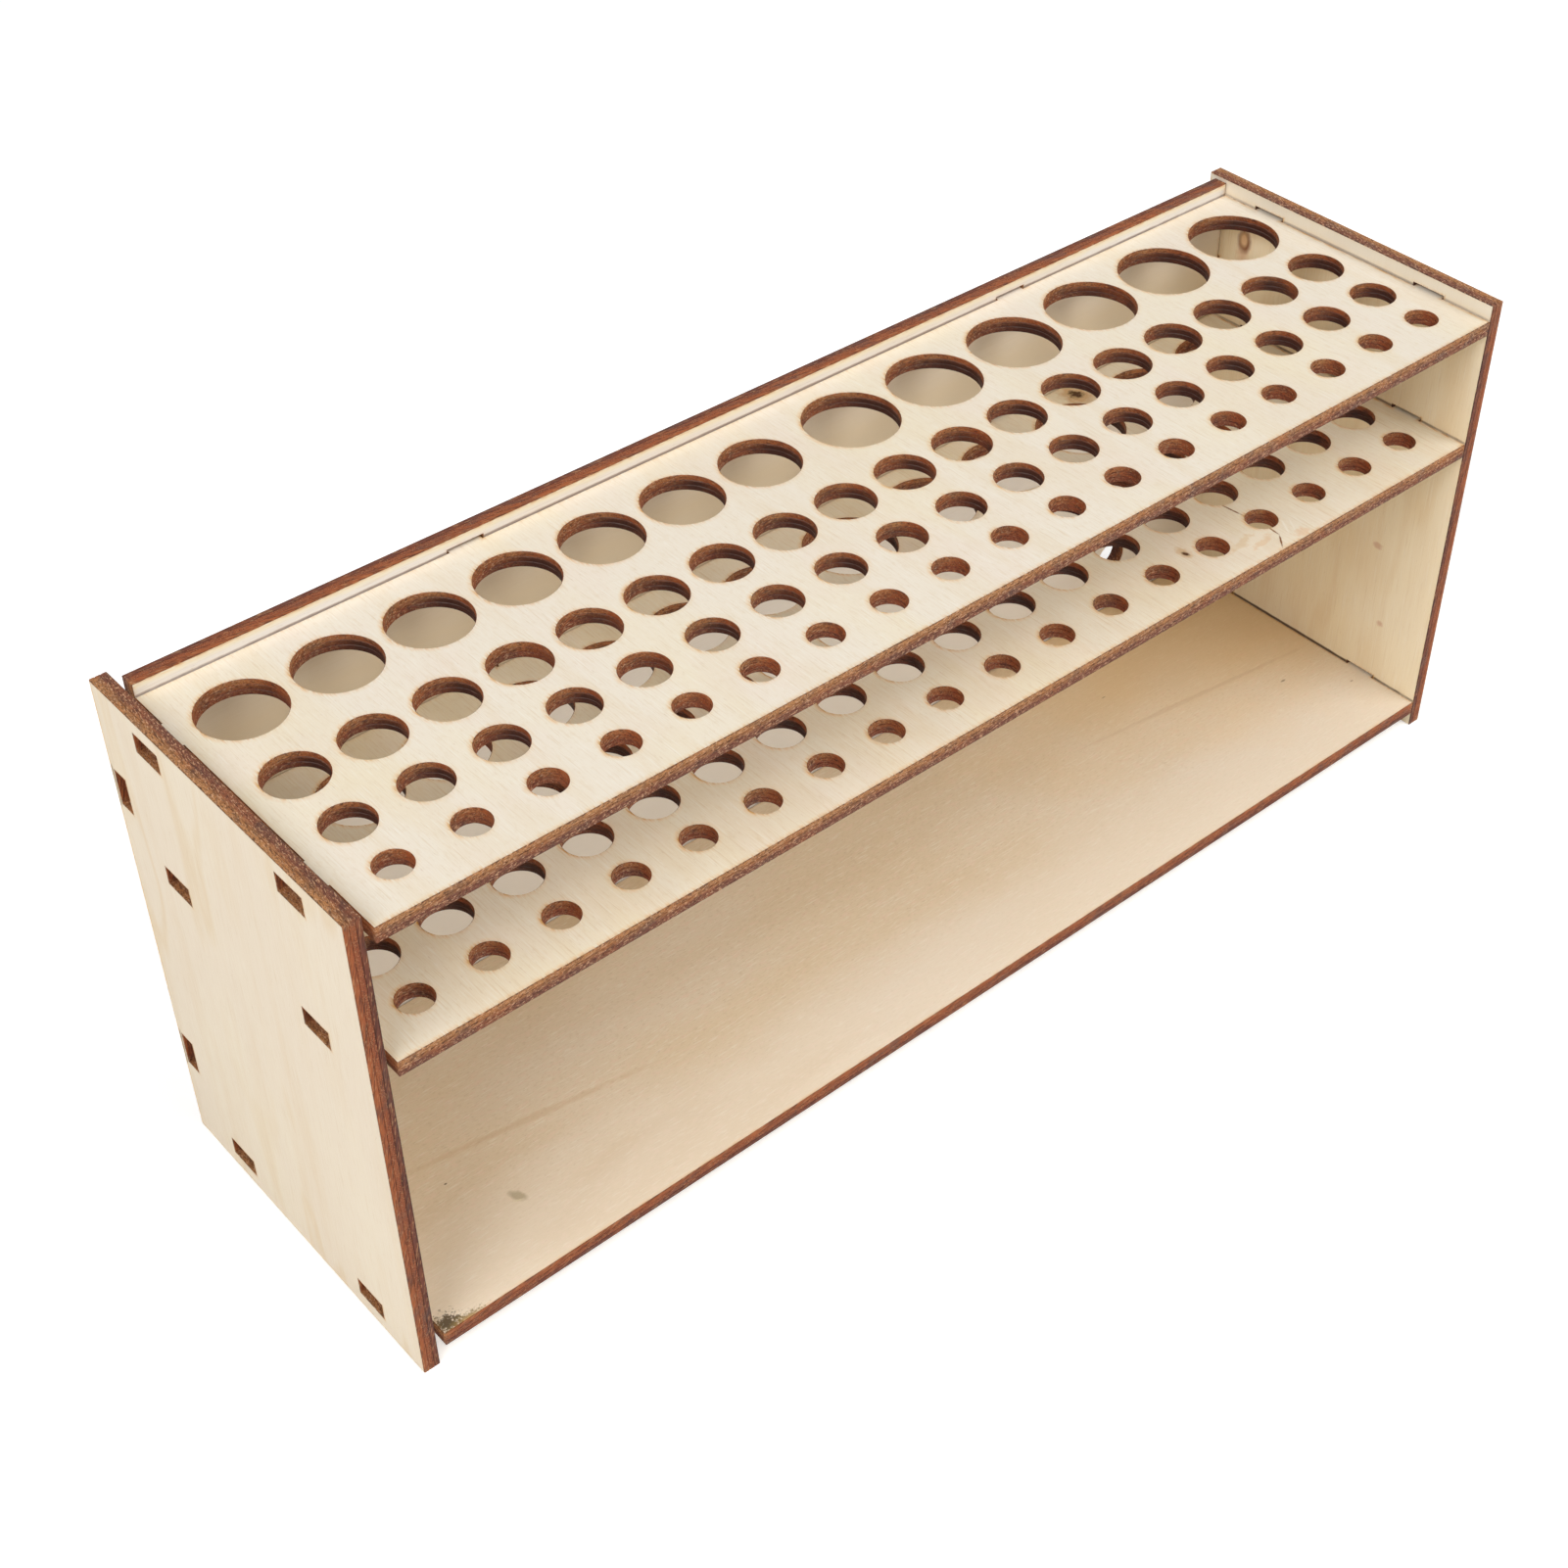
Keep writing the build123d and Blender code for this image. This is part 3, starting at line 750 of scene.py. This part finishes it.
# A pin knot, a bent crack, mineral patches with pale lines beside it, and a dark knot near the back, all
# on the upper face
middle_face_z = 92.4
middle_marks = [
    ("#f8eedc", 0.7, (90.0, -38.5, middle_face_z), (9.0, 4.6, 2.0), 10, 0.7, 3.0),
    ("#e6cda6", 0.6, (86.5, -37.6, middle_face_z), (5.5, 1.6, 2.0), 14, 1.1, 1.5),
    ("#e8c8a0", 0.55, (91.0, -40.6, middle_face_z), (5.0, 1.3, 2.0), 8, 1.1, 1.5),
    ("#e6c19a", 0.55, (101.0, -44.0, middle_face_z), (3.2, 1.8, 2.0), 0, 0.9, 1.6),
    ("#d8b483", 0.7, (72.9, -31.4, middle_face_z), (1.8, 3.2, 2.0), 0, 0.5, 1.4),
    ("#56311a", 1.0, (72.9, -31.9, middle_face_z), (0.8, 1.3, 2.0), 20, 0.3, 1.0),
    ("#8a5c34", 1.0, (94.9, -26.7, middle_face_z), (4.6, 0.34, 2.0), -84, 0.4, 0.8),
    ("#8a5c34", 1.0, (96.0, -39.1, middle_face_z), (2.8, 0.32, 2.0), -95, 0.4, 0.8),
    ("#8a5c34", 1.0, (94.1, -43.3, middle_face_z), (3.1, 0.32, 2.0), -130, 0.4, 0.8),
    ("#fffaf0", 0.4, (99.5, -40.0, middle_face_z), (4.4, 0.34, 2.0), -121, 0.3, 1.0),
    ("#fffaf0", 0.3, (101.4, -40.5, middle_face_z), (3.4, 0.3, 2.0), -121, 0.3, 1.0),
    ("#d3aa74", 0.8, (103.6, 35.2, middle_face_z), (5.0, 6.5, 2.0), 0, 0.5, 1.6),
    ("#46290f", 0.95, (103.6, 35.2, middle_face_z), (2.0, 2.6, 2.0), 25, 0.8, 0.9),
]
middle_veneer = veneer("birch_veneer_middle_shelf", "#f1e7d3", shelf_layers, shelf_figure,
                       toast=1.0, marks=middle_marks)
top_veneer = veneer("birch_veneer_top_shelf", "#f2e7d5", shelf_layers, shelf_figure, toast=0.9)
shelf_leaves = {"middle_shelf": middle_veneer, "top_shelf": top_veneer}
for level, (node, leaf) in enumerate(shelf_leaves.items()):
    piece = cut_panel(node, shelf_loops, holed_tree, Matrix.Translation((0, 0, shelf_floors[level + 1])),
                      thickness=sheet, scorch_width=1.3 * mm, glue_line_width=0.34 * mm,
                      glue_line_depth=0.2 * mm, pattern_offset=(0.9 * level, 0.3 * level, 0.2 * level),
                      grain_angle=math.radians(90), veneer=leaf, charred_edge=edge_material, **row_values)

# Floor, light and camera
# A white studio table under soft light from all round, seen from the photograph's place. The table and
# the room behind it show as white, yet give the rack little light, so that its own colours hold.
floor_reach = 4.0
floor_mesh = bpy.data.meshes.new("floor")
floor_corners = rectangle(-floor_reach, -floor_reach, floor_reach, floor_reach)
floor_mesh.from_pydata([(x, y, 0) for x, y in floor_corners], [], [(0, 1, 2, 3)])
floor = bpy.data.objects.new("floor", floor_mesh)
bpy.context.scene.collection.objects.link(floor)


def seen_directly(add):
    """1 for rays that show what lies behind, from the eye, off gloss or through glass, and 0 for light."""
    ray = add("ShaderNodeLightPath").outputs
    mirrored = add("ShaderNodeMath", {0: ray["Is Glossy Ray"], 1: ray["Is Transmission Ray"]},
                   operation="MAXIMUM")
    return add("ShaderNodeMath", {0: ray["Is Camera Ray"], 1: mirrored}, operation="MAXIMUM")


floor_material, add = new_material("white_studio_table")
seen = seen_directly(add)
here = add("ShaderNodeTexCoord").outputs["Object"]
from_rack = add("ShaderNodeVectorMath", {0: here}, operation="LENGTH")
glowing = add("ShaderNodeMapRange", {"Value": from_rack, "From Min": 0.8, "From Max": 2.6, "To Min": 0.45})
whiten = add("ShaderNodeMath", {0: seen, 1: glowing}, operation="MULTIPLY")
matt = add("ShaderNodeBsdfDiffuse", {"Color": linear("#f0efed")})
glow = add("ShaderNodeEmission", {"Color": (1, 1, 1, 1), "Strength": whiten})
both = add("ShaderNodeAddShader", {0: matt, 1: glow})
add("ShaderNodeOutputMaterial", {"Surface": both})
floor_mesh.materials.append(floor_material)

world = bpy.data.worlds.new("studio")
bpy.context.scene.world = world
world.use_nodes = True
world.node_tree.nodes.clear()
add = partial(add_node, world.node_tree)
strength = add("ShaderNodeMapRange", {"Value": seen_directly(add), "To Min": 0.05})
sky = add("ShaderNodeBackground", {"Color": (1, 1, 1, 1), "Strength": strength})
add("ShaderNodeOutputWorld", {"Surface": sky})


def soft_light(name, place, size, power):
    """A large square area light of so many metres and watts that faces the middle of the rack."""
    rack_middle = Vector((0, 0, 0.06))
    lamp = bpy.data.lights.new(name, "AREA")
    lamp.size = size
    lamp.energy = power
    lamp_object = bpy.data.objects.new(name, lamp)
    lamp_object.location = place
    lamp_object.rotation_euler = (rack_middle - Vector(place)).to_track_quat("-Z", "Y").to_euler()
    bpy.context.scene.collection.objects.link(lamp_object)


soft_light("front_left", (-1.65, -0.6, 1.62), size=1.5, power=36)
soft_light("front_right", (0.95, -1.5, 1.7), size=1.6, power=26.5)
soft_light("overhead", (0.5, 0.15, 1.5), size=1.2, power=5.5)
soft_light("low_front", (0.7, -1.6, 0.35), size=0.9, power=4.5)
soft_light("left", (-1.5, -0.2, 0.4), size=0.9, power=1.5)

# The camera's place and turn come from fitting the rims of the holes and the corners of the panels
camera_data = bpy.data.cameras.new("camera")
camera_data.sensor_width = 36
camera_data.lens = 55.907
camera_data.shift_x = -0.0395
camera_data.shift_y = 0.00134
camera_data.clip_start = 0.01
camera = bpy.data.objects.new("camera", camera_data)
bpy.context.scene.collection.objects.link(camera)
camera_right = Vector((0.75175, -0.659437, 0.003795))
camera_up = Vector((0.431928, 0.496724, 0.752797))
camera_back = Vector((-0.498308, -0.564276, 0.658242))
camera.matrix_world = (Matrix.Translation((-0.301448, -0.333762, 0.432807))
                       @ Matrix((camera_right, camera_up, camera_back)).transposed().to_4x4())
bpy.context.scene.camera = camera

bpy.context.scene.view_settings.view_transform = "Standard"
